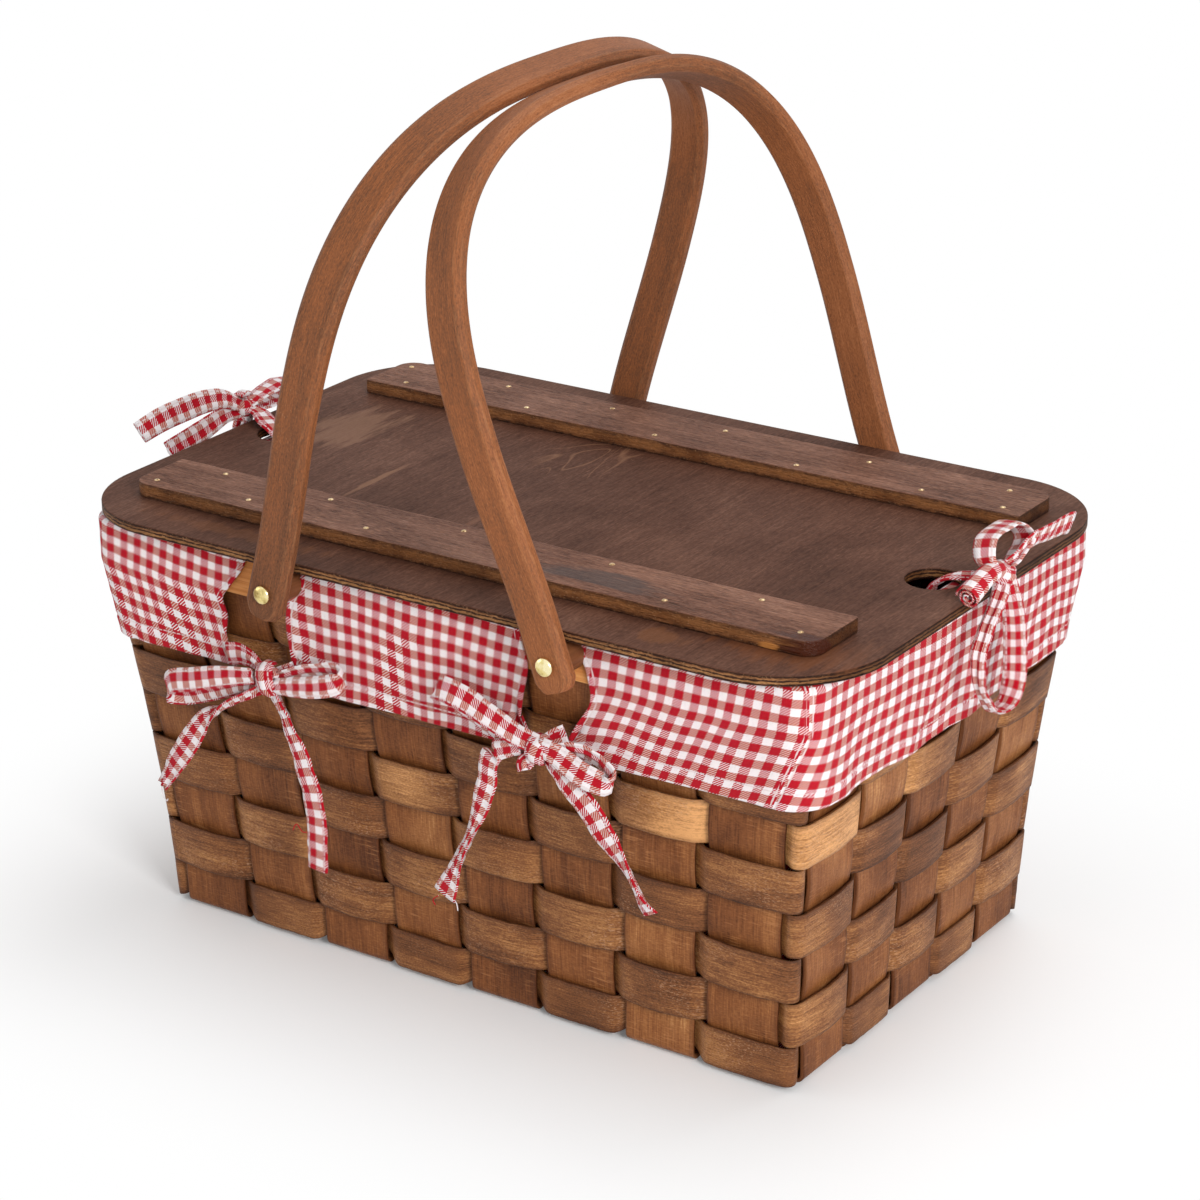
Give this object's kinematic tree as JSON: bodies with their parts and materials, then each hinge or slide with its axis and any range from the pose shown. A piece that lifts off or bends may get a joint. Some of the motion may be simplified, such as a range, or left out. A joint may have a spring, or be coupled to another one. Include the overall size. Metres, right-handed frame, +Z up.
{
  "type": "picnic basket",
  "caption": "Woven wood-splint picnic basket with a loose wooden lid, bentwood swing handles and a checked cloth liner with ties.",
  "frame": {"origin": "bottom centre of the whole basket, on the surface it stands on", "axes": "+X along the long side, -Y out of the front wall, +Z up"},
  "size_m": [0.4383, 0.3066, 0.4226],
  "materials": {
    "splint": "matt stained splint",
    "rim_wood": "matt light wood",
    "lid_wood": "satin stain",
    "batten_wood": "satin stain",
    "handle_wood": "satin varnish",
    "brass": "polished",
    "cloth": "woven cotton check"
  },
  "bodies": {
    "basket": {"crosswise_stake_1": "splint", "crosswise_stake_2": "splint", "crosswise_stake_3": "splint", "crosswise_stake_4": "splint", "crosswise_stake_5": "splint", "crosswise_stake_6": "splint", "crosswise_stake_7": "splint", "crosswise_stake_8": "splint", "lengthwise_stake_1": "splint", "lengthwise_stake_2": "splint", "lengthwise_stake_3": "splint", "lengthwise_stake_4": "splint", "lengthwise_stake_5": "splint", "weaver_1": "splint", "weaver_2": "splint", "weaver_3": "splint", "weaver_4": "splint", "weaver_5": "splint", "weaver_6": "splint", "weaver_7": "splint", "weaver_8": "splint", "rim_outer": "rim_wood", "rim_inner": "rim_wood", "liner": "cloth", "rivet_left_front": "brass", "rivet_left_back": "brass", "rivet_right_front": "brass", "rivet_right_back": "brass", "rivet_washer_left_front": "brass", "rivet_washer_left_back": "brass", "rivet_washer_right_front": "brass", "rivet_washer_right_back": "brass", "handle_spacer_left_front": "handle_wood", "handle_spacer_left_back": "handle_wood", "handle_spacer_right_front": "handle_wood", "handle_spacer_right_back": "handle_wood", "side_bow_left_front": "cloth", "side_bow_left_back": "cloth", "side_bow_right_front": "cloth", "side_bow_right_back": "cloth"},
    "lid": {"lid_panel": "lid_wood", "lid_batten_front": "batten_wood", "lid_batten_back": "batten_wood", "end_bow_left": "cloth", "end_bow_right": "cloth"},
    "handle_left": {"handle_left": "handle_wood"},
    "handle_right": {"handle_right": "handle_wood"}
  },
  "joints": [
    {"name": "handle_left_swing", "type": "hinge", "parent": "basket", "child": "handle_left", "pos_m": [-0.0775, 0, 0.1977], "axis": [0, -1, 0], "range_deg": [0, 119]},
    {"name": "handle_right_swing", "type": "hinge", "parent": "basket", "child": "handle_right", "pos_m": [0.0775, 0, 0.1977], "axis": [0, 1, 0], "range_deg": [0, 122]},
    {"name": "lid_lift", "type": "slide", "parent": "basket", "child": "lid", "axis": [0, 0, 1], "range_m": [0, 0.09]}
  ]
}
